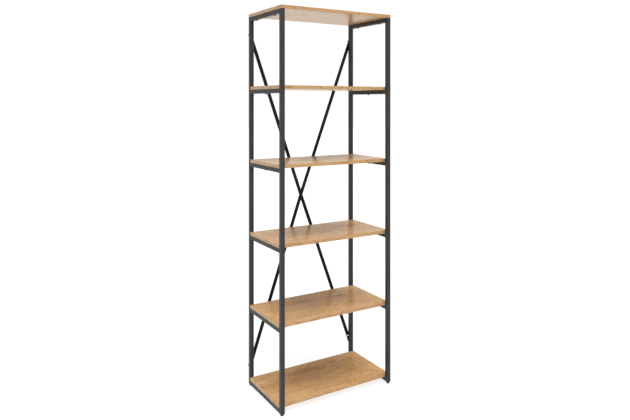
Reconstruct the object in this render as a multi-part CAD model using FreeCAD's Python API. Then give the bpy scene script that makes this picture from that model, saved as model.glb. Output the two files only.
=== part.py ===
"""Free-standing bookcase: two welded side frames, six boards, an X brace and four levelling feet.

Millimetres. +X runs to the right, +Y from the front to the back, +Z up.
The origin is on the floor, in the middle of the overall box.
Level 1 is the lowest shelf, level 6 the top board.
"""
import FreeCAD, Part
import math
import os

# ---- driving dimensions ----------------------------------------------------------------------
WIDTH = 620.0             # across both side frames, and the length of every board
DEPTH = 350.0             # front face of the front posts to back face of the rear posts
HEIGHT = 1850.0           # floor to the upper face of the top board

TUBE = 20.0               # square tube of posts and rails
TUBE_WALL = 1.2
TUBE_RADIUS = 2.0         # outer corner radius of the tube

BOARD = 16.0              # board thickness
LEVELS = 6                # five shelves and the top board
EDGE_BAND = 1.0           # thickness of the strips glued round each board
EDGE_BREAK = 0.5          # chamfer on the outer arrises of a board

FOOT_HEIGHT = 8.0         # floor to the lower end of the posts
FOOT_RADIUS = 8.0
FOOT_COLLAR_RADIUS = 5.5
FOOT_RIM_HEIGHT = 3.0     # height of the pad's upright rim, below its taper
FOOT_RIM_BREAK = 0.8
FOOT_TAPER_TOP = 6.0      # height at which the taper meets the collar
STUD_RADIUS = 3.0
STUD_TOP = 26.0           # height of the stud's upper end
STUD_SEAT = 2.5           # height of the stud's lower end inside the pad
STUD_CHAMFER = 0.6
INSERT_LENGTH = 20.0
INSERT_RADIUS = 1.5       # corner radius of the plug, a little more than the tube's inside
RUNNING_GAP = 0.05        # radial clearance of everything round that sits in a hole

SCREW_RADIUS = 2.4        # pan-head screws that hold the boards down on the rails
SCREW_HEAD_RADIUS = 5.0
SCREW_HEAD_HEIGHT = 4.0
SCREW_HEAD_ROUND = 2.0    # rounding of the head's rim
SCREW_TIP_RADIUS = 0.4
RECESS_LENGTH = 5.2       # cross recess in the head
RECESS_WIDTH = 1.2
RECESS_DEPTH = 2.0
SCREW_BITE = 12.0         # length of the screw inside the board
TOP_SCREW_INSET = 59.0    # from a rail's end to the nearer screw of the top board

BRACE_INSET = 86.0        # from the ends of the posts to the brace studs
BAR_WIDTH = 18.0
BAR_THICKNESS = 3.0
BRACE_BOW = 16.5          # how far behind its ends the brace stands at the crossing
SPARE_HOLE_PITCH = 33.0   # from a bar's lower end hole to the spare hole beside it
BAR_FLAT = 30.0           # half length of the stretch of a bar that lies flat at the crossing
BAR_END_FLAT = 12.0       # from an end hole to where the bar starts to bow

BOLT_RADIUS = 2.95        # M6 bolt at the crossing
BOLT_HEAD_RADIUS = 5.5
BOLT_HEAD_HEIGHT = 4.0
BOLT_HEAD_ROUND = 2.4     # rounding of the button head
SOCKET_ACROSS = 4.0
SOCKET_DEPTH = 2.2
WASHER_RADIUS = 6.5
WASHER_THICKNESS = 1.2
BRACE_STUD_RADIUS = 3.95  # M8 studs that hold the bars' ends
BRACE_STUD_HEAD_RADIUS = 6.5
BRACE_STUD_HEAD_HEIGHT = 1.5
BRACE_STUD_REACH = 9.0    # how far a stud runs into its cap nut
CAP_WASHER_RADIUS = 8.0
CAP_NUT_ACROSS = 13.0
CAP_NUT_HEX_HEIGHT = 7.0
CAP_NUT_HEIGHT = 15.0
CAP_NUT_BORE = 10.0
CAP_DOME_RADIUS = 6.0
CROSSING_NUT_ACROSS = 10.0
CROSSING_NUT_HEIGHT = 5.0

# ---- places worked out from them -------------------------------------------------------------
LEFT = -WIDTH / 2
RIGHT = WIDTH / 2
BRACE_STANDOUT = (BRACE_BOW + 1.5 * BAR_THICKNESS + WASHER_THICKNESS
                  + CROSSING_NUT_HEIGHT)                         # back of the posts to the crossing nut
FRONT = -(DEPTH + BRACE_STANDOUT) / 2
BACK = FRONT + DEPTH
MID_DEPTH = (FRONT + BACK) / 2
RAIL_START = FRONT + TUBE
RAIL_END = BACK - TUBE
POST_BOTTOM = FOOT_HEIGHT
POST_TOP = HEIGHT - BOARD
LOWEST_TOP = POST_BOTTOM + TUBE + BOARD
LEVEL_PITCH = (HEIGHT - LOWEST_TOP) / (LEVELS - 1)
BOARD_TOPS = [LOWEST_TOP + level * LEVEL_PITCH for level in range(LEVELS)]

SIDES = {"left": LEFT, "right": RIGHT - TUBE}                    # lower x of each side frame
POST_CENTRES = {
    "front_left": (LEFT + TUBE / 2, FRONT + TUBE / 2),
    "front_right": (RIGHT - TUBE / 2, FRONT + TUBE / 2),
    "rear_left": (LEFT + TUBE / 2, BACK - TUBE / 2),
    "rear_right": (RIGHT - TUBE / 2, BACK - TUBE / 2),
}

BRACE_LOW = POST_BOTTOM + BRACE_INSET
BRACE_HIGH = POST_TOP - BRACE_INSET
BRACE_LEFT = LEFT + TUBE / 2
BRACE_RIGHT = RIGHT - TUBE / 2
BRACE_MIDDLE = (BRACE_LOW + BRACE_HIGH) / 2
BAR_BACK = BACK + BAR_THICKNESS
BAR_PLANE = BACK + BAR_THICKNESS / 2
CROSSING_PLANE = BAR_PLANE + BRACE_BOW                           # where the two bars touch
BRACE_STUDS = [(x, z) for x in (BRACE_LEFT, BRACE_RIGHT) for z in (BRACE_LOW, BRACE_HIGH)]

UP = FreeCAD.Vector(0, 0, 1)
BACKWARD = FreeCAD.Vector(0, 1, 0)
FORWARD = FreeCAD.Vector(0, -1, 0)


# ---- helpers ---------------------------------------------------------------------------------
def save(name, *solids):
    """Write one node, one or several separate solids."""
    shape = solids[0] if len(solids) == 1 else Part.makeCompound(list(solids))
    shape.exportStep(os.path.join("parts", name + ".step"))


def box(low, high):
    size = [high[axis] - low[axis] for axis in range(3)]
    return Part.makeBox(size[0], size[1], size[2], FreeCAD.Vector(*low))


def rod(radius, start, end):
    """Round bar from one point to another."""
    start = FreeCAD.Vector(*start)
    run = FreeCAD.Vector(*end) - start
    return Part.makeCylinder(radius, run.Length, start, run)


def rounded_prism(half_x, half_y, radius, bottom, top):
    """Upright bar of rounded rectangular section, centred on the Z axis."""
    bar = box((-half_x, -half_y, bottom), (half_x, half_y, top))
    upright = [edge for edge in bar.Edges if abs(edge.Length - (top - bottom)) < 1e-6]
    return bar.makeFillet(radius, upright)


def square_tube(length):
    """Open square tube along +Z, centred on the Z axis."""
    inner_half = TUBE / 2 - TUBE_WALL
    outside = rounded_prism(TUBE / 2, TUBE / 2, TUBE_RADIUS, 0, length)
    inside = rounded_prism(inner_half, inner_half, TUBE_RADIUS - TUBE_WALL, 0, length)
    return outside.cut(inside)


def moved(shape, x, y, z):
    shape.translate(FreeCAD.Vector(x, y, z))
    return shape


def hexagon(across_flats, base, direction, length):
    """Six-sided prism along the Y axis, from base."""
    corner = across_flats / math.sqrt(3)
    points = []
    for step in range(7):
        angle = math.radians(60 * step)
        points.append(base + FreeCAD.Vector(corner * math.cos(angle), 0, corner * math.sin(angle)))
    return Part.Face(Part.makePolygon(points)).extrude(direction * length)


# ---- side frames -----------------------------------------------------------------------------
def post(centre, rear):
    """Upright tube; a rear post has a hole in its back wall for each brace stud."""
    x, y = centre
    tube = moved(square_tube(POST_TOP - POST_BOTTOM), x, y, POST_BOTTOM)
    if rear:
        for z in (BRACE_LOW, BRACE_HIGH):
            hole = rod(BRACE_STUD_RADIUS + RUNNING_GAP, (x, BACK - 2 * TUBE_WALL, z), (x, BACK + 1, z))
            tube = tube.cut(hole)
    return tube


def screw_places(level):
    """Y of the board screws on each rail of a level."""
    if level == LEVELS:
        return (RAIL_START + TOP_SCREW_INSET, RAIL_END - TOP_SCREW_INSET)
    return (MID_DEPTH,)


def rail(side_x, level):
    """Cross rail between the posts of one side frame, right under a board."""
    tube = square_tube(RAIL_END - RAIL_START)
    tube.rotate(FreeCAD.Vector(0, 0, 0), FreeCAD.Vector(1, 0, 0), -90)
    top = BOARD_TOPS[level - 1] - BOARD
    centre_x = side_x + TUBE / 2
    moved(tube, centre_x, RAIL_START, top - TUBE / 2)
    for y in screw_places(level):
        hole = rod(SCREW_RADIUS + RUNNING_GAP, (centre_x, y, top - TUBE - 1), (centre_x, y, top + 1))
        tube = tube.cut(hole)
    return tube


def make_side_frames():
    for corner, centre in POST_CENTRES.items():
        save("post_" + corner, post(centre, corner.startswith("rear")))
    for side, side_x in SIDES.items():
        for level in range(1, LEVELS + 1):
            save(f"rail_{side}_{level}", rail(side_x, level))


# ---- boards ----------------------------------------------------------------------------------
def make_board(level):
    """Board core with its screw holes, and the four strips glued round its edges."""
    name = "top_board" if level == LEVELS else f"shelf_{level}"
    front, back = (FRONT, BACK) if level == LEVELS else (RAIL_START, RAIL_END)
    top = BOARD_TOPS[level - 1]
    low = (LEFT, front, top - BOARD)
    high = (RIGHT, back, top)
    block = box(low, high)
    block = block.makeChamfer(EDGE_BREAK, block.Edges)
    core_box = box((LEFT + EDGE_BAND, front + EDGE_BAND, low[2]), (RIGHT - EDGE_BAND, back - EDGE_BAND, top))
    core = block.common(core_box)
    for side_x in SIDES.values():
        for y in screw_places(level):
            x = side_x + TUBE / 2
            pilot_end = low[2] + SCREW_BITE + RUNNING_GAP
            core = core.cut(rod(SCREW_RADIUS + RUNNING_GAP, (x, y, low[2]), (x, y, pilot_end)))
    save(name, core)

    inner_front = front + EDGE_BAND
    inner_back = back - EDGE_BAND
    strip_boxes = [
        box((LEFT, front, low[2]), (RIGHT, inner_front, top)),
        box((LEFT, inner_back, low[2]), (RIGHT, back, top)),
        box((LEFT, inner_front, low[2]), (LEFT + EDGE_BAND, inner_back, top)),
        box((RIGHT - EDGE_BAND, inner_front, low[2]), (RIGHT, inner_back, top)),
    ]
    save(name + "_edging", *[block.common(strip).Solids[0] for strip in strip_boxes])


def board_screw(x, y, rail_bottom):
    """Pan-head screw with a cross recess, driven upwards through a rail into a board."""
    head_bottom = rail_bottom - SCREW_HEAD_HEIGHT
    shank_top = rail_bottom + TUBE + SCREW_BITE
    head = rod(SCREW_HEAD_RADIUS, (x, y, head_bottom), (x, y, rail_bottom))
    rim = [edge for edge in head.Edges if edge.BoundBox.ZMax < head_bottom + 1e-6]
    head = head.makeFillet(SCREW_HEAD_ROUND, rim)
    recess_top = head_bottom + RECESS_DEPTH
    long_half = RECESS_LENGTH / 2
    short_half = RECESS_WIDTH / 2
    for half_x, half_y in ((long_half, short_half), (short_half, long_half)):
        head = head.cut(box((x - half_x, y - half_y, head_bottom), (x + half_x, y + half_y, recess_top)))
    point_base = shank_top - SCREW_RADIUS
    shank = rod(SCREW_RADIUS, (x, y, rail_bottom), (x, y, point_base))
    point = Part.makeCone(SCREW_RADIUS, SCREW_TIP_RADIUS, SCREW_RADIUS, FreeCAD.Vector(x, y, point_base), UP)
    return head.fuse(shank).fuse(point).removeSplitter().Solids[0]


def make_board_screws():
    shelf_screws = []
    top_screws = []
    for level in range(1, LEVELS + 1):
        group = top_screws if level == LEVELS else shelf_screws
        rail_bottom = BOARD_TOPS[level - 1] - BOARD - TUBE
        for side_x in SIDES.values():
            for y in screw_places(level):
                group.append(board_screw(side_x + TUBE / 2, y, rail_bottom))
    save("shelf_screws", *shelf_screws)
    save("top_board_screws", *top_screws)


# ---- X brace ---------------------------------------------------------------------------------
def brace_bar(start_x, end_x, bow):
    """Flat bar with round ends from the high stud at start_x down to the low stud at end_x.

    The bar stands bow behind the plane of its ends at the crossing, and has a spare hole near its
    lower end. It is drawn along +Z with its width along X, then leant over.
    """
    span = math.hypot(end_x - start_x, BRACE_HIGH - BRACE_LOW)
    half = span / 2
    end = half + BAR_WIDTH / 2
    bend = half - BAR_END_FLAT
    line = [(-end, 0.0), (-bend, 0.0), (-BAR_FLAT, bow), (BAR_FLAT, bow), (bend, 0.0), (end, 0.0)]
    front_side = [FreeCAD.Vector(0, y - BAR_THICKNESS / 2, z) for z, y in line]
    back_side = [FreeCAD.Vector(0, y + BAR_THICKNESS / 2, z) for z, y in reversed(line)]
    profile = Part.Face(Part.makePolygon(front_side + back_side + front_side[:1]))
    profile.translate(FreeCAD.Vector(-BAR_WIDTH / 2, 0, 0))
    bar = profile.extrude(FreeCAD.Vector(BAR_WIDTH, 0, 0))
    reach = BRACE_BOW + 2 * BAR_THICKNESS
    outline = rounded_outline(half)
    outline.translate(FreeCAD.Vector(0, -reach, 0))
    bar = bar.common(outline.extrude(BACKWARD * 2 * reach))
    for z in (-half, SPARE_HOLE_PITCH - half, half):
        bar = bar.cut(rod(BRACE_STUD_RADIUS + RUNNING_GAP, (0, -reach, z), (0, reach, z)))
    bar = bar.cut(rod(BOLT_RADIUS + RUNNING_GAP, (0, -reach, 0), (0, reach, 0)))
    lean = math.degrees(math.atan2(start_x - end_x, BRACE_HIGH - BRACE_LOW))
    bar.rotate(FreeCAD.Vector(0, 0, 0), BACKWARD, lean)
    return moved(bar, (start_x + end_x) / 2, BAR_PLANE, BRACE_MIDDLE)


def rounded_outline(half):
    """Face in the XZ plane with the bar's outline: two long sides and two half-round ends."""
    r = BAR_WIDTH / 2
    corners = [FreeCAD.Vector(x, 0, z) for x, z in ((-r, -half), (-r, half), (r, half), (r, -half))]
    tip_up = FreeCAD.Vector(0, 0, half + r)
    tip_down = FreeCAD.Vector(0, 0, -half - r)
    edges = [
        Part.LineSegment(corners[0], corners[1]).toShape(),
        Part.Arc(corners[1], tip_up, corners[2]).toShape(),
        Part.LineSegment(corners[2], corners[3]).toShape(),
        Part.Arc(corners[3], tip_down, corners[0]).toShape(),
    ]
    return Part.Face(Part.Wire(edges))


def socket_bolt(head_base, direction, length):
    """Button-head bolt: head_base is under the head, the shank runs along direction."""
    head_top = head_base - direction * BOLT_HEAD_HEIGHT
    head = Part.makeCylinder(BOLT_HEAD_RADIUS, BOLT_HEAD_HEIGHT, head_top, direction)
    rim = [edge for edge in head.Edges if len(edge.Vertexes) == 1
           and abs(edge.CenterOfMass.y - head_top.y) < 1e-6]
    head = head.makeFillet(BOLT_HEAD_ROUND, rim)
    head = head.cut(hexagon(SOCKET_ACROSS, head_top, direction, SOCKET_DEPTH))
    shank = Part.makeCylinder(BOLT_RADIUS, length, head_base, direction)
    return head.fuse(shank).removeSplitter().Solids[0]


def washer(radius, shank_radius, x, y, z):
    """Flat washer round a shank, with its front face at y."""
    ring = rod(radius, (x, y, z), (x, y + WASHER_THICKNESS, z))
    return ring.cut(rod(shank_radius + RUNNING_GAP, (x, y - 1, z), (x, y + WASHER_THICKNESS + 1, z)))


def brace_stud(x, z):
    """Stud pressed into a post's back wall from inside, running out through a bar into a cap nut."""
    inner_face = BACK - TUBE_WALL
    head = rod(BRACE_STUD_HEAD_RADIUS, (x, inner_face - BRACE_STUD_HEAD_HEIGHT, z), (x, inner_face, z))
    end = BAR_BACK + WASHER_THICKNESS + BRACE_STUD_REACH
    shank = rod(BRACE_STUD_RADIUS, (x, inner_face, z), (x, end, z))
    return head.fuse(shank).removeSplitter().Solids[0]


def cap_nut(x, z):
    """Hexagon nut with a dome over the stud's end."""
    base = FreeCAD.Vector(x, BAR_BACK + WASHER_THICKNESS, z)
    dome_height = CAP_NUT_HEIGHT - CAP_DOME_RADIUS
    nut = hexagon(CAP_NUT_ACROSS, base, BACKWARD, CAP_NUT_HEX_HEIGHT)
    nut = nut.fuse(Part.makeCylinder(CAP_DOME_RADIUS, dome_height, base, BACKWARD))
    nut = nut.fuse(Part.makeSphere(CAP_DOME_RADIUS, base + BACKWARD * dome_height))
    bore = Part.makeCylinder(BRACE_STUD_RADIUS + RUNNING_GAP, CAP_NUT_BORE, base, BACKWARD)
    return nut.cut(bore).removeSplitter().Solids[0]


def crossing_nut(y):
    """Hexagon nut behind the crossing."""
    middle = FreeCAD.Vector(0, y, BRACE_MIDDLE)
    nut = hexagon(CROSSING_NUT_ACROSS, middle, BACKWARD, CROSSING_NUT_HEIGHT)
    return nut.cut(Part.makeCylinder(BOLT_RADIUS + RUNNING_GAP, CROSSING_NUT_HEIGHT, middle, BACKWARD))


def make_brace():
    half_bar = BAR_THICKNESS / 2
    save("brace_bar_falling", brace_bar(BRACE_LEFT, BRACE_RIGHT, BRACE_BOW - half_bar))
    save("brace_bar_rising", brace_bar(BRACE_RIGHT, BRACE_LEFT, BRACE_BOW + half_bar))

    save("brace_studs", *[brace_stud(x, z) for x, z in BRACE_STUDS])
    save("brace_cap_nuts", *[cap_nut(x, z) for x, z in BRACE_STUDS])

    crossing_front = CROSSING_PLANE - BAR_THICKNESS - WASHER_THICKNESS
    crossing_back = CROSSING_PLANE + BAR_THICKNESS
    washers = [washer(CAP_WASHER_RADIUS, BRACE_STUD_RADIUS, x, BAR_BACK, z) for x, z in BRACE_STUDS]
    for y in (crossing_front, crossing_back):
        washers.append(washer(WASHER_RADIUS, BOLT_RADIUS, 0, y, BRACE_MIDDLE))
    save("brace_washers", *washers)
    nut_base = crossing_back + WASHER_THICKNESS
    nut_end = nut_base + CROSSING_NUT_HEIGHT
    head_base = FreeCAD.Vector(0, crossing_front, BRACE_MIDDLE)
    save("crossing_bolt", socket_bolt(head_base, BACKWARD, nut_end - crossing_front))
    save("crossing_nut", crossing_nut(nut_base))


# ---- feet ------------------------------------------------------------------------------------
def foot_insert(x, y):
    """Plastic plug pressed into a post's lower end, with the threaded hole for the foot."""
    half = TUBE / 2 - TUBE_WALL
    plug = rounded_prism(half, half, INSERT_RADIUS, 0, INSERT_LENGTH)
    plug = plug.cut(rod(STUD_RADIUS + RUNNING_GAP, (0, 0, -1), (0, 0, INSERT_LENGTH + 1)))
    return moved(plug, x, y, POST_BOTTOM)


def foot_pad(x, y):
    """Round glide: a foot disc with a broken lower rim, a taper and a collar that meets the insert."""
    outline = [
        (0, 0), (FOOT_RADIUS - FOOT_RIM_BREAK, 0), (FOOT_RADIUS, FOOT_RIM_BREAK),
        (FOOT_RADIUS, FOOT_RIM_HEIGHT), (FOOT_COLLAR_RADIUS, FOOT_TAPER_TOP),
        (FOOT_COLLAR_RADIUS, FOOT_HEIGHT), (0, FOOT_HEIGHT), (0, 0),
    ]
    section = Part.Face(Part.makePolygon([FreeCAD.Vector(r, 0, z) for r, z in outline]))
    pad = section.revolve(FreeCAD.Vector(0, 0, 0), UP, 360)
    pad = pad.cut(rod(STUD_RADIUS, (0, 0, STUD_SEAT), (0, 0, FOOT_HEIGHT + 1)))
    return moved(pad, x, y, 0)


def foot_stud(x, y):
    stud = rod(STUD_RADIUS, (x, y, STUD_SEAT), (x, y, STUD_TOP))
    end = [edge for edge in stud.Edges if edge.BoundBox.ZMin > STUD_TOP - 1e-6]
    return stud.makeChamfer(STUD_CHAMFER, end)


def make_feet():
    for corner, (x, y) in POST_CENTRES.items():
        save("foot_insert_" + corner, foot_insert(x, y))
        save("foot_pad_" + corner, foot_pad(x, y))
        save("foot_stud_" + corner, foot_stud(x, y))


os.makedirs("parts", exist_ok=True)
make_side_frames()
for board_level in range(1, LEVELS + 1):
    make_board(board_level)
make_board_screws()
make_brace()
make_feet()
print("levels at", BOARD_TOPS)
print("front and back at", FRONT, BACK)
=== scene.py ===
"""Looks of the free-standing bookcase: oak boards, powder-coated tube frames, X brace and feet.

Metres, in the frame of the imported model: +X right, +Y back, +Z up, floor at z = 0.
"""
import math
import random

import bpy
import bmesh
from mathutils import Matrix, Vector


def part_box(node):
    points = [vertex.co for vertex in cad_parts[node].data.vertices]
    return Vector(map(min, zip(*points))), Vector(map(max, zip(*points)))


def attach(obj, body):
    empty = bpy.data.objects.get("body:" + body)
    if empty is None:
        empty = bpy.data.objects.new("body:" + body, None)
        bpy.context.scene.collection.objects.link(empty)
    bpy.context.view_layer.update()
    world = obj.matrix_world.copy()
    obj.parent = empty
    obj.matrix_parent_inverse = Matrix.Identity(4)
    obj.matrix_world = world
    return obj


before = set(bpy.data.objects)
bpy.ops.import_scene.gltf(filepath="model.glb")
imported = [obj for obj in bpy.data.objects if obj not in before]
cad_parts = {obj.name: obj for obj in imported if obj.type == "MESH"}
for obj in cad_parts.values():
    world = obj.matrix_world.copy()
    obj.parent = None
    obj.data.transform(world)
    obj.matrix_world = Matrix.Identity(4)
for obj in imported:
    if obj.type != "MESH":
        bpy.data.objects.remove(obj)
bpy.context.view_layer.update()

# ---- pieces and sizes, most of them taken from the frame --------------------------------------
TOP_LEVEL = 6
LEVELS = range(1, TOP_LEVEL + 1)
SIDES = ("left", "right")
CASE_BODY = "bookcase"

POST_LOW, POST_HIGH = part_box("post_front_left")
CASE_LEFT = POST_LOW.x
CASE_FRONT = POST_LOW.y
TUBE = POST_HIGH.x - POST_LOW.x
EDGE_STRIP = 0.001                  # thickness of the strips on the boards' edges
END_STRIP_X = -CASE_LEFT - 1.05 * EDGE_STRIP    # the end strips lie further out than this

# ---- tones, as linear red, green and blue ----------------------------------------------------
FRAME_COLOUR = (0.038, 0.0355, 0.0348)
BRACE_COLOUR = (0.007, 0.0066, 0.0066)
OAK_LIGHT = (0.74, 0.460, 0.205)
OAK_DARK = (0.42, 0.215, 0.075)
EDGE_LIGHT = (0.52, 0.310, 0.135)
EDGE_DARK = (0.36, 0.185, 0.066)
# edge strips on the boards' left and right ends: the edging's grain tones, painted paler than the front
# and rear strips' as painted light on the end faces
END_LIGHT_PAINTED_LIT = (0.55, 0.360, 0.190)
END_DARK_PAINTED_LIT = (0.40, 0.235, 0.112)
KNOT_BROWN = tuple(channel * factor for channel, factor in zip(OAK_DARK, (0.30, 0.24, 0.20)))
# painted shade: the share of colour kept on the boards' undersides, standing in for the light they lack
UNDERSIDE_PAINTED_SHADE = (0.76, 0.76, 0.76)
PLATING_TONES = ((0.030, 0.030, 0.031), (0.055, 0.054, 0.053))
BARE_EDGE_GREY = (0.20, 0.195, 0.19)
ZINC_TONES = ((0.60, 0.59, 0.53), (0.52, 0.55, 0.58))
TURNED_GREY = (0.30, 0.30, 0.30)
PLASTIC_TONES = ((0.015, 0.015, 0.016), (0.024, 0.024, 0.025))
DUST_GREY = (0.13, 0.12, 0.11)
SCUFF_GREY = (0.09, 0.09, 0.09)

# ---- powder coat -----------------------------------------------------------------------------
FRAME_SHINE = 0.16
BRACE_SHINE = 0.14
PEEL_SCALE = 750.0                  # orange peel
SPECK_SCALE = 420.0                 # dust under the coat
COAT_CLOUD_SCALE = 14.0             # broad changes of tone
COAT_DEEP = 0.86                    # darkest and palest tone, as shares of the paint's own colour
COAT_PALE = 1.16
WORN_GAIN = 1.9                     # worn paint: the colour times the gain, plus the lift
WORN_LIFT = 0.006
SPECK_STRENGTH = 0.5
RUBBED_STRENGTH = 0.55
RUBBED_POLISH = 0.08
SPECK_HEIGHT = 0.8
COAT_RELIEF = 0.00006

# ---- fasteners and feet ----------------------------------------------------------------------
PLATING_GRIT_SCALE = 900.0
PLATING_CLOUD_SCALE = 160.0
PLATING_WEAR = 0.6
PLATING_POLISH = 0.10
PLATING_RELIEF = 0.00003
TURNED_SCALES = (120.0, 120.0, 2600.0)          # marks round the part, close together along it
ZINC_CLOUD_SCALE = 220.0
TURNED_RELIEF = 0.00004
PLASTIC_GRIT_SCALE = 2200.0
PLASTIC_CLOUD_SCALE = 190.0
SCRATCH_SCALES = (350.0, 350.0, 2400.0)
PLASTIC_SHINE = 0.4
PLASTIC_RELIEF = 0.00005
CENTIMETRES = 100.0                 # to the metre
DUST_TOP = 0.45                     # where the dust ends, in centimetres over the floor
DUST_STRENGTH = 0.5
DUST_ROUGHNESS = 0.22

# ---- oak: fineness of each pattern along and across the grain ---------------------------------
SLOW_GRAIN = (1.6, 5.0, 5.0)
SWELL_GRAIN = (4.5, 9.0, 9.0)
RIPPLE_GRAIN = (14.0, 40.0, 40.0)
FIBRE_GRAIN = (9.0, 420.0, 420.0)
STREAK_GRAIN = (2.5, 60.0, 60.0)
PORE_GRAIN = (75.0, 1500.0, 1500.0)
CLOUD_GRAIN = (3.0, 8.0, 8.0)
FLECK_GRAIN = (40.0, 130.0, 130.0)
SEED_REACH = 40                     # how far a seed may move a board's piece of wood

# ---- oak: growth rings -----------------------------------------------------------------------
SLOW_WANDER = 0.16                  # how far the rings wander sideways
RIPPLE_WANDER = 0.012
SWELL_DEPTH = 0.24                  # how far the board's face rises and sinks through the rings
FACE_DEPTH = -0.07                  # where it lies when the swell is at its lowest
RINGS_PER_METRE = 115.0
SWELL_RINGS = 3.0
KNOT_PULL_REACH = (3.2, 3.0)        # how far a knot bends the rings, in its own sizes
KNOT_PULL_DEPTH = 3.0

# ---- oak: how much each pattern darkens the wood ----------------------------------------------
RING_SHARE = 0.70
FIBRE_SHARE = 1.1
STREAK_SHARE = 0.9
CLOUD_SHARE = 1.1
BASE_SHARE = 0.16
BLOTCH_SHARE = 0.9
KNOT_HALO_SHARE = 0.45
KNOT_CORE_SHARE = 0.85
PORE_SHARE = 0.45
OAK_SHINE = 0.4
OAK_RELIEF = 0.00008

# ---- oak: each board's rings, knots and darker oval patches, by level ------------------------
FACES = {
    1: dict(heart=-0.09, taper=0.22, knots=[((-0.302, 0.018), (0.007, 0.005))],
            blotches=[((-0.05, 0.070), (0.09, 0.026)), ((-0.29, 0.096), (0.05, 0.006))]),
    2: dict(heart=0.06, taper=-0.25, knots=[((0.152, 0.035), (0.010, 0.006))],
            blotches=[((0.157, -0.067), (0.012, 0.008)), ((-0.10, 0.05), (0.07, 0.03))]),
    3: dict(heart=-0.04, taper=0.30, blotches=[((-0.01, -0.045), (0.08, 0.012))]),
    4: dict(heart=0.10, taper=-0.20, knots=[((0.05, 0.02), (0.008, 0.005))]),
    5: dict(heart=-0.12, taper=0.18, blotches=[((0.10, 0.05), (0.08, 0.02))]),
    6: dict(heart=0.02, taper=0.24, knots=[((-0.12, -0.06), (0.009, 0.006))]),
}
FACE_SEED = 100                     # plus the level
EDGE_SEED = 7
FACE_FIGURE = 2.2                   # strength of the small flecks
EDGE_FIGURE = 0.5

# ---- weld beads ------------------------------------------------------------------------------
BEAD_SEED = 11
BEAD_STEPS = 28                     # stretches along one bead
BEAD_SIDES = 6                      # flats round its outer side
BEAD_REACH = 0.0026                 # leg of a corner bead
SEAM_REACH = 0.0020                 # half width of a ground seam
SEAM_RISE = 0.00035                 # how far a ground seam stands proud
BEAD_MARGIN = 0.12 * TUBE           # from a bead's end to the tube's edge
RIPPLE_TURN = 52                    # radians that the ripples run through over one bead
RIPPLE_START = 10                   # largest angle they may start at, in radians
RIPPLE_HEIGHT = 0.10
RIPPLE_JITTER = 0.05
BEAD_END = 0.25                     # height of a bead's ends, as a share of its full height
BEAD_END_SLOPE = 5.0

# ---- stage -----------------------------------------------------------------------------------
FLOOR_RADIUS = 30.0
FLOOR_SEGMENTS = 96
FLOOR_DROP = 0.0005                 # keeps the floor clear of the feet
FLOOR_TONE = 0.24
FLOOR_GLOW = 0.80
LIGHT_SPREAD = 70                   # degrees across
LIGHT_ENERGY = 1.35 * math.pi
LIGHT_AIM = (0.10, 0.26, -1.0)
# studio brightness by a direction's share along each axis: (share, factor) at both ends of a change
WORLD_TONES = [
    ("Z", (0.15, 1.02), (0.40, 0.12)),
    ("X", (-0.70, 0.30), (-0.46, 1.0)),
    ("Y", (-0.60, 1.30), (0.0, 1.0)),
]
SENSOR_WIDTH = 36.0                 # millimetres, as the lens below
LENS = 33.54
FRAME_SHIFT = -0.1703
CAMERA_LEFT_OF_CASE = 1.221
CAMERA_BEFORE_CASE = 2.336
EYE_HEIGHT = 1.409
CAMERA_TURN = -30.90                # degrees from straight ahead; negative is to the right

# sockets of the Mix node that its colour mode uses
MIX_FIRST = 6
MIX_SECOND = 7
MIX_RESULT = 2


def board_name(level):
    return "top_board" if level == TOP_LEVEL else f"shelf_{level}"


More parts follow.
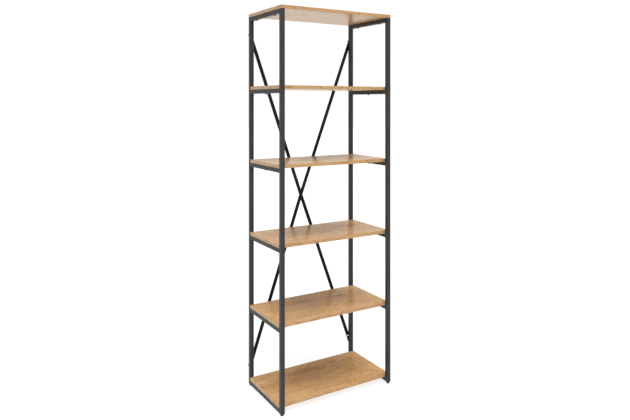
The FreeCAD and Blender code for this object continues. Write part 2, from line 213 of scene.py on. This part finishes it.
# ---- shader building -------------------------------------------------------------------------
class Shader:
    """A new material with short calls for the nodes used here."""

    def __init__(self, name):
        self.material = bpy.data.materials.new(name)
        self.material.use_nodes = True
        self.tree = self.material.node_tree
        self.bsdf = self.tree.nodes["Principled BSDF"]
        source = self.node("ShaderNodeTexCoord").outputs
        self.place = source["Object"]
        self.facing = source["Normal"]

    def node(self, kind, **settings):
        made = self.tree.nodes.new(kind)
        for key, value in settings.items():
            setattr(made, key, value)
        return made

    def put(self, value, socket):
        """Sets a socket from another socket, a number or a colour."""
        if isinstance(value, bpy.types.NodeSocket):
            self.tree.links.new(value, socket)
        else:
            socket.default_value = value

    def set(self, **values):
        """Sets the surface's own sockets, such as base_color=... or roughness=..."""
        for key, value in values.items():
            self.put(value, self.bsdf.inputs[key.replace("_", " ").title().replace("Ior", "IOR")])

    def noise(self, vector, scale, detail=4.0, roughness=0.55, distortion=0.0):
        """Noise between 0 and 1, about scale spots to the metre."""
        made = self.node("ShaderNodeTexNoise")
        self.put(vector, made.inputs["Vector"])
        made.inputs["Scale"].default_value = scale
        made.inputs["Detail"].default_value = detail
        made.inputs["Roughness"].default_value = roughness
        made.inputs["Distortion"].default_value = distortion
        return made.outputs["Fac"]

    def grain(self, vector, scales, **settings):
        """Noise with its own scale along each axis."""
        mapping = self.node("ShaderNodeMapping")
        self.put(vector, mapping.inputs["Vector"])
        mapping.inputs["Scale"].default_value = scales
        return self.noise(mapping.outputs["Vector"], 1.0, **settings)

    def ramp(self, factor, *stops):
        """Grey ramp through (place, grey value) stops."""
        made = self.node("ShaderNodeValToRGB")
        self.put(factor, made.inputs["Fac"])
        elements = made.color_ramp.elements
        while len(elements) < len(stops):
            elements.new(0.5)
        for element, (place, tone) in zip(elements, stops):
            element.position = place
            element.color = (tone, tone, tone, 1)
        return made.outputs["Color"]

    def mix(self, factor, first, second, blend="MIX"):
        made = self.node("ShaderNodeMix", data_type="RGBA", blend_type=blend)
        self.put(factor, made.inputs["Factor"])
        self.put(self.full(first), made.inputs[MIX_FIRST])
        self.put(self.full(second), made.inputs[MIX_SECOND])
        return made.outputs[MIX_RESULT]

    @staticmethod
    def full(colour):
        """A colour given as three numbers with its alpha added; a socket as it is."""
        return (*colour, 1) if isinstance(colour, tuple) else colour

    def math(self, operation, first, second=0.5, third=0.0):
        made = self.node("ShaderNodeMath", operation=operation)
        for value, socket in zip((first, second, third), made.inputs):
            self.put(value, socket)
        return made.outputs["Value"]

    def vector(self, operation, first, second):
        made = self.node("ShaderNodeVectorMath", operation=operation)
        self.put(first, made.inputs[0])
        self.put(second, made.inputs[1])
        return made.outputs["Vector"]

    def split(self, vector):
        made = self.node("ShaderNodeSeparateXYZ")
        self.put(vector, made.inputs["Vector"])
        return made.outputs

    def join(self, x, y, z):
        made = self.node("ShaderNodeCombineXYZ")
        for value, socket in zip((x, y, z), made.inputs):
            self.put(value, socket)
        return made.outputs["Vector"]

    def bump(self, height, distance, strength):
        made = self.node("ShaderNodeBump")
        self.put(height, made.inputs["Height"])
        made.inputs["Distance"].default_value = distance
        made.inputs["Strength"].default_value = strength
        self.put(made.outputs["Normal"], self.bsdf.inputs["Normal"])


# ---- painted, plated and moulded surfaces ----------------------------------------------------
def corner_share(shader):
    """1 on rounded edges and corners, 0 on flat faces that point along an axis."""
    tilt = shader.vector("ABSOLUTE", shader.facing, (0, 0, 0))
    x, y, z = shader.split(tilt)
    flattest = shader.math("MAXIMUM", shader.math("MAXIMUM", x, y), z)
    return shader.ramp(flattest, (0.72, 1.0), (0.98, 0.0))


def powder_coat(name, colour, shine):
    """Powder coat: fine orange peel, a few dust specks, edges rubbed a little smoother and paler."""
    shader = Shader(name)
    peel = shader.noise(shader.place, PEEL_SCALE, detail=3.0, roughness=0.6)
    cloud = shader.noise(shader.place, COAT_CLOUD_SCALE)
    specks = shader.ramp(shader.noise(shader.place, SPECK_SCALE, detail=1.0), (0.70, 0.0), (0.76, 1.0))
    rubbed = shader.math("MULTIPLY", corner_share(shader), shader.ramp(cloud, (0.38, 0.25), (0.62, 1.0)))
    deep = tuple(channel * COAT_DEEP for channel in colour)
    pale = tuple(channel * COAT_PALE for channel in colour)
    worn = tuple(channel * WORN_GAIN + WORN_LIFT for channel in colour)
    tone = shader.mix(shader.ramp(cloud, (0.30, 0.0), (0.70, 1.0)), deep, pale)
    tone = shader.mix(shader.math("MULTIPLY", specks, SPECK_STRENGTH), tone, worn)
    tone = shader.mix(shader.math("MULTIPLY", rubbed, RUBBED_STRENGTH), tone, worn)
    grit = shader.ramp(peel, (0.30, 0.33), (0.70, 0.43))
    rough = shader.math("SUBTRACT", grit, shader.math("MULTIPLY", rubbed, RUBBED_POLISH))
    shader.set(base_color=tone, roughness=rough, specular_ior_level=shine)
    height = shader.math("ADD", peel, shader.math("MULTIPLY", specks, SPECK_HEIGHT))
    shader.bump(height, COAT_RELIEF, 0.6)
    return shader.material


def black_metal(name):
    """Black-plated steel of the fasteners, worn to grey along its edges."""
    shader = Shader(name)
    grit = shader.noise(shader.place, PLATING_GRIT_SCALE, roughness=0.6)
    cloud = shader.noise(shader.place, PLATING_CLOUD_SCALE, detail=3.0)
    wear = shader.math("MULTIPLY", corner_share(shader), shader.ramp(cloud, (0.40, 0.0), (0.65, 1.0)))
    tone = shader.mix(cloud, *PLATING_TONES)
    tone = shader.mix(shader.math("MULTIPLY", wear, PLATING_WEAR), tone, BARE_EDGE_GREY)
    rough = shader.ramp(grit, (0.3, 0.36), (0.7, 0.50))
    rough = shader.math("SUBTRACT", rough, shader.math("MULTIPLY", wear, PLATING_POLISH))
    shader.set(base_color=tone, metallic=0.8, roughness=rough)
    shader.bump(grit, PLATING_RELIEF, 0.5)
    return shader.material


def zinc_steel(name):
    """Zinc-plated steel: turned marks round the part, faint yellow and blue of the passivation."""
    shader = Shader(name)
    marks = shader.grain(shader.place, TURNED_SCALES, detail=3.0)
    cloud = shader.noise(shader.place, ZINC_CLOUD_SCALE, detail=3.0)
    tone = shader.mix(cloud, *ZINC_TONES)
    tone = shader.mix(shader.ramp(marks, (0.52, 0.0), (0.72, 0.35)), tone, TURNED_GREY)
    shader.set(base_color=tone, metallic=1.0, roughness=shader.ramp(marks, (0.3, 0.26), (0.7, 0.42)))
    shader.bump(marks, TURNED_RELIEF, 0.6)
    return shader.material


def moulded_plastic(name):
    """Black moulded plastic with a fine eroded grain, scuffed, and dusty close to the floor."""
    shader = Shader(name)
    grit = shader.noise(shader.place, PLASTIC_GRIT_SCALE, detail=3.0, roughness=0.6)
    cloud = shader.noise(shader.place, PLASTIC_CLOUD_SCALE, roughness=0.6)
    scratch = shader.grain(shader.place, SCRATCH_SCALES, detail=3.0)
    _, _, height = shader.split(shader.place)
    low = shader.ramp(shader.math("MULTIPLY", height, CENTIMETRES), (0.0, 1.0), (DUST_TOP, 0.0))
    dusty = shader.math("MULTIPLY", low, shader.ramp(cloud, (0.35, 0.1), (0.70, 1.0)))
    tone = shader.mix(cloud, *PLASTIC_TONES)
    tone = shader.mix(shader.math("MULTIPLY", dusty, DUST_STRENGTH), tone, DUST_GREY)
    tone = shader.mix(shader.ramp(scratch, (0.66, 0.0), (0.74, 0.30)), tone, SCUFF_GREY)
    rough = shader.ramp(grit, (0.3, 0.42), (0.7, 0.56))
    rough = shader.math("MULTIPLY_ADD", dusty, DUST_ROUGHNESS, rough)
    shader.set(base_color=tone, roughness=rough, specular_ior_level=PLASTIC_SHINE)
    shader.bump(grit, PLASTIC_RELIEF, 0.6)
    return shader.material


# ---- oak -------------------------------------------------------------------------------------
def spot(shader, place, middle, size):
    """Soft oval patch: 1 in its middle, falling to nothing at about twice its size."""
    gap = shader.vector("SUBTRACT", place, (*middle, 0.0))
    gap = shader.vector("MULTIPLY", gap, (1.0 / size[0], 1.0 / size[1], 0.0))
    x, y, _ = shader.split(gap)
    square = shader.math("ADD", shader.math("MULTIPLY", x, x), shader.math("MULTIPLY", y, y))
    return shader.math("EXPONENT", shader.math("MULTIPLY", square, -1.0))


def growth_rings(shader, place, moved, heart, taper, knots, pulls):
    """Dark late wood of rings cut almost flat, so that they run in long arches."""
    x, y, _ = shader.split(place)
    slow = shader.grain(moved, SLOW_GRAIN, detail=2.0)
    swell = shader.grain(moved, SWELL_GRAIN, detail=2.0)
    ripple = shader.grain(moved, RIPPLE_GRAIN, detail=3.0)
    across = shader.math("SUBTRACT", y, heart + 0.5 * SLOW_WANDER)
    across = shader.math("MULTIPLY_ADD", slow, SLOW_WANDER, across)
    across = shader.math("MULTIPLY_ADD", ripple, RIPPLE_WANDER, across)
    depth = shader.math("MULTIPLY_ADD", swell, SWELL_DEPTH, FACE_DEPTH)
    depth = shader.math("MULTIPLY_ADD", x, taper, depth)
    for pull, (_, size) in zip(pulls, knots):
        depth = shader.math("MULTIPLY_ADD", pull, size[1] * KNOT_PULL_DEPTH, depth)
    square = shader.math("ADD", shader.math("MULTIPLY", across, across),
                         shader.math("MULTIPLY", depth, depth))
    radius = shader.math("SQRT", square)
    rings = shader.math("MULTIPLY_ADD", radius, RINGS_PER_METRE,
                        shader.math("MULTIPLY", swell, SWELL_RINGS))
    phase = shader.math("FRACT", rings)
    return shader.ramp(phase, (0.0, 0.75), (0.12, 1.0), (0.42, 0.25), (0.85, 0.0), (1.0, 0.75))


def turned_at_ends(shader, place):
    """The place with X and Y swapped on the left and right end strips, and 1 where those strips are."""
    x, y, z = shader.split(place)
    at_end = shader.math("GREATER_THAN", shader.math("ABSOLUTE", x), END_STRIP_X)
    turn = shader.vector("SUBTRACT", shader.join(y, x, z), place)
    return shader.vector("ADD", place, shader.vector("MULTIPLY", turn, at_end)), at_end


def oak(name, seed, light, dark, heart=0.0, taper=0.25, knots=(), blotches=(), figure=FACE_FIGURE,
        painted_lit_end_tones=None):
    """Oak with its grain along X.

    heart is the line that the growth rings arch round and taper how fast those arches close.
    knots and blotches are (middle, size) ovals on the face, figure is the strength of the small flecks.
    The end tones are the light and dark tone of the left and right end strips, whose grain runs along Y;
    they are paler than the front and rear strips' tones, as painted light on those end faces.
    """
    shader = Shader(name)
    draw = random.Random(seed)
    place = shader.place
    if painted_lit_end_tones:
        place, at_end = turned_at_ends(shader, place)
        # painted light: the end strips take paler tones than the front and rear strips, as if lit on their
        # end faces; their grain turned along Y is real
        light = shader.mix(at_end, light, painted_lit_end_tones[0])
        dark = shader.mix(at_end, dark, painted_lit_end_tones[1])
    moved = shader.vector("ADD", place, tuple(draw.uniform(-SEED_REACH, SEED_REACH) for _ in range(3)))
    along, wide = KNOT_PULL_REACH
    pulls = [spot(shader, place, middle, (size[0] * along, size[1] * wide)) for middle, size in knots]
    ring = growth_rings(shader, place, moved, heart, taper, knots, pulls)

    # fibres, small flecks, broad changes of tone, and open pores in the early wood
    fibre = shader.grain(moved, FIBRE_GRAIN, detail=3.0, roughness=0.65)
    fleck = shader.grain(moved, FLECK_GRAIN, detail=3.0, roughness=0.6, distortion=1.4)
    streak = shader.grain(moved, STREAK_GRAIN, roughness=0.6)
    cloud = shader.grain(moved, CLOUD_GRAIN, roughness=0.6)
    pore = shader.ramp(shader.grain(moved, PORE_GRAIN, detail=1.0), (0.60, 0.0), (0.68, 1.0))
    pore = shader.math("MULTIPLY", pore, shader.math("MULTIPLY_ADD", ring, 0.8, 0.2))

    share = shader.math("MULTIPLY", ring, RING_SHARE)
    weights = ((fibre, FIBRE_SHARE), (fleck, figure), (streak, STREAK_SHARE), (cloud, CLOUD_SHARE))
    for pattern, weight in weights:
        share = shader.math("MULTIPLY_ADD", shader.math("SUBTRACT", pattern, 0.5), weight, share)
    share = shader.math("ADD", share, BASE_SHARE)
    # darker oval patches at the listed places on each board
    for middle, size in blotches:
        patch = shader.math("MULTIPLY", spot(shader, place, middle, size), shader.math("ADD", streak, 0.3))
        share = shader.math("MULTIPLY_ADD", patch, BLOTCH_SHARE, share)
    for pull in pulls:
        share = shader.math("MULTIPLY_ADD", pull, KNOT_HALO_SHARE, share)
    tone = shader.mix(shader.ramp(share, (0.0, 0.0), (1.0, 1.0)), light, dark)
    for middle, size in knots:
        core = shader.ramp(spot(shader, place, middle, size), (0.25, 0.0), (0.75, 1.0))
        tone = shader.mix(shader.math("MULTIPLY", core, KNOT_CORE_SHARE), tone, KNOT_BROWN)
    tone = shader.mix(shader.math("MULTIPLY", pore, PORE_SHARE), tone, KNOT_BROWN)
    # painted shade: faces that point down are darkened, standing in for less light under each board
    _, _, upward = shader.split(shader.facing)
    underside = shader.math("LESS_THAN", upward, -0.5)
    tone = shader.mix(underside, tone, UNDERSIDE_PAINTED_SHADE, blend="MULTIPLY")

    gloss = shader.ramp(streak, (0.30, 0.25), (0.70, 0.31))
    gloss = shader.math("MULTIPLY_ADD", pore, 0.2, gloss)
    shader.set(base_color=tone, roughness=gloss, specular_ior_level=OAK_SHINE)
    relief = shader.math("MULTIPLY_ADD", pore, -1.0, shader.math("MULTIPLY", fibre, 0.25))
    shader.bump(relief, OAK_RELIEF, 0.5)
    return shader.material


# ---- weld beads ------------------------------------------------------------------------------
def add_bead(shape, start, along, legs, draw):
    """Rippled bead over the stretch along, its round side spanning from one leg to the other."""
    rings = []
    wobble = draw.uniform(0, RIPPLE_START)
    for step in range(BEAD_STEPS + 1):
        share = step / BEAD_STEPS
        jitter = draw.uniform(-RIPPLE_JITTER, RIPPLE_JITTER)
        ripple = 1.0 + RIPPLE_HEIGHT * math.sin(share * RIPPLE_TURN + wobble) + jitter
        fade = min(1.0, BEAD_END_SLOPE * min(share, 1.0 - share) + BEAD_END)
        middle = start + along * share
        ring = [shape.verts.new(middle)]
        for side in range(BEAD_SIDES + 1):
            angle = math.pi / 2 * side / BEAD_SIDES
            reach = legs[0] * math.cos(angle) + legs[1] * math.sin(angle)
            ring.append(shape.verts.new(middle + reach * ripple * fade))
        rings.append(ring)
    count = len(rings[0])
    for near, far in zip(rings, rings[1:]):
        for side in range(count):
            after = (side + 1) % count
            shape.faces.new((near[side], near[after], far[after], far[side]))
    shape.faces.new(reversed(rings[0]))
    shape.faces.new(rings[-1])


def make_weld_beads(paint):
    """Corner beads under the rails, and ground seams on the inner side of the frames."""
    draw = random.Random(BEAD_SEED)
    shape = bmesh.new()
    length = TUBE - 2 * BEAD_MARGIN
    for side in SIDES:
        inward = 1 if side == "left" else -1
        for level in LEVELS:
            low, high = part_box(f"rail_{side}_{level}")
            inner_x = high.x if side == "left" else low.x
            for post_y, into_bay in ((low.y, 1), (high.y, -1)):
                if level > 1:
                    start = Vector((low.x + BEAD_MARGIN, post_y, low.z))
                    legs = (Vector((0, into_bay * BEAD_REACH, 0)), Vector((0, 0, -BEAD_REACH)))
                    add_bead(shape, start, Vector((length, 0, 0)), legs, draw)
                start = Vector((inner_x, post_y, low.z + BEAD_MARGIN))
                rise = Vector((inward * SEAM_RISE, 0, 0))
                for way in (-1, 1):
                    legs = (Vector((0, way * SEAM_REACH, 0)), rise)
                    add_bead(shape, start, Vector((0, 0, length)), legs, draw)
    bmesh.ops.recalc_face_normals(shape, faces=shape.faces)
    mesh = bpy.data.meshes.new("weld_beads")
    shape.to_mesh(mesh)
    shape.free()
    mesh.shade_smooth()
    mesh.materials.append(paint)
    beads = bpy.data.objects.new("weld_beads", mesh)
    bpy.context.scene.collection.objects.link(beads)
    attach(beads, CASE_BODY)


# ---- stage -----------------------------------------------------------------------------------
def make_floor():
    """Pale round floor with a glow of its own, so that the soft shadow on it stays faint."""
    mesh = bpy.data.meshes.new("floor")
    shape = bmesh.new()
    bmesh.ops.create_circle(shape, cap_ends=True, segments=FLOOR_SEGMENTS, radius=FLOOR_RADIUS)
    shape.to_mesh(mesh)
    shape.free()
    floor = bpy.data.objects.new("floor", mesh)
    bpy.context.scene.collection.objects.link(floor)
    floor.location.z = -FLOOR_DROP
    paint = Shader("floor_paint")
    paint.set(base_color=(FLOOR_TONE, FLOOR_TONE, FLOOR_TONE, 1), roughness=0.9, specular_ior_level=0.2)
    paint.set(emission_color=(1.0, 1.0, 1.0, 1), emission_strength=FLOOR_GLOW)
    mesh.materials.append(paint.material)


def make_overhead_light():
    """One very wide soft source above, slightly to the front and the left."""
    data = bpy.data.lights.new("overhead", "SUN")
    data.angle = math.radians(LIGHT_SPREAD)
    data.energy = LIGHT_ENERGY
    light = bpy.data.objects.new("overhead", data)
    bpy.context.scene.collection.objects.link(light)
    light.rotation_euler = Vector(LIGHT_AIM).to_track_quat("-Z", "Y").to_euler()


def make_world():
    """Studio with a white backdrop, a brighter front, a dimmer left side and a dark ceiling."""
    world = bpy.data.worlds.new("studio")
    world.use_nodes = True
    bpy.context.scene.world = world
    nodes = world.node_tree.nodes
    links = world.node_tree.links
    background = nodes["Background"]
    background.inputs["Color"].default_value = (1.0, 1.0, 1.0, 1)
    place = nodes.new("ShaderNodeTexCoord")
    split = nodes.new("ShaderNodeSeparateXYZ")
    links.new(place.outputs["Generated"], split.inputs["Vector"])
    product = None
    for axis, (start, start_tone), (end, end_tone) in WORLD_TONES:
        span = nodes.new("ShaderNodeMapRange")
        span.interpolation_type = "SMOOTHSTEP"
        for socket, value in zip(("From Min", "From Max", "To Min", "To Max"),
                                 (start, end, start_tone, end_tone)):
            span.inputs[socket].default_value = value
        links.new(split.outputs[axis], span.inputs["Value"])
        if product:
            times = nodes.new("ShaderNodeMath")
            times.operation = "MULTIPLY"
            links.new(product, times.inputs[0])
            links.new(span.outputs["Result"], times.inputs[1])
            product = times.outputs["Value"]
        else:
            product = span.outputs["Result"]
    links.new(product, background.inputs["Strength"])


def make_camera():
    """Level camera to the left of the front, at eye height, with its frame shifted down."""
    data = bpy.data.cameras.new("camera")
    data.sensor_width = SENSOR_WIDTH
    data.lens = LENS
    data.shift_y = FRAME_SHIFT
    camera = bpy.data.objects.new("camera", data)
    bpy.context.scene.collection.objects.link(camera)
    camera.location = (CASE_LEFT - CAMERA_LEFT_OF_CASE, CASE_FRONT - CAMERA_BEFORE_CASE, EYE_HEIGHT)
    camera.rotation_euler = (math.radians(90), 0, math.radians(CAMERA_TURN))
    bpy.context.scene.camera = camera


# ---- dressing the pieces and setting the stage -----------------------------------------------
def dress(node, material):
    """Gives a CAD node one material."""
    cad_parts[node].material_slots[0].material = material


frame_paint = powder_coat("frame_paint", FRAME_COLOUR, FRAME_SHINE)
brace_paint = powder_coat("brace_paint", BRACE_COLOUR, BRACE_SHINE)
for level in LEVELS:
    face = oak(f"oak_face_{level}", FACE_SEED + level, OAK_LIGHT, OAK_DARK, **FACES[level])
    dress(board_name(level), face)
# the edging's end strips get paler end tones: painted light
edge_paint = oak("oak_edge", EDGE_SEED, EDGE_LIGHT, EDGE_DARK, figure=EDGE_FIGURE,
                 painted_lit_end_tones=(END_LIGHT_PAINTED_LIT, END_DARK_PAINTED_LIT))
black_steel = black_metal("black_steel")
plain_steel = zinc_steel("plain_steel")
black_plastic = moulded_plastic("black_plastic")

# the other pieces' paint, by a part of the piece's name
NODE_PAINTS = {
    "post": frame_paint,
    "rail": frame_paint,
    "edging": edge_paint,
    "bar": brace_paint,
    "screws": black_steel,
    "bolt": black_steel,
    "washers": black_steel,
    "nut": black_steel,
    "stud": plain_steel,
    "foot_insert": black_plastic,
    "foot_pad": black_plastic,
}
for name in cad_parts:
    for part_of_name, paint in NODE_PAINTS.items():
        if part_of_name in name:
            dress(name, paint)

make_weld_beads(frame_paint)
make_floor()
make_world()
make_overhead_light()
make_camera()
bpy.context.scene.view_settings.view_transform = "Standard"
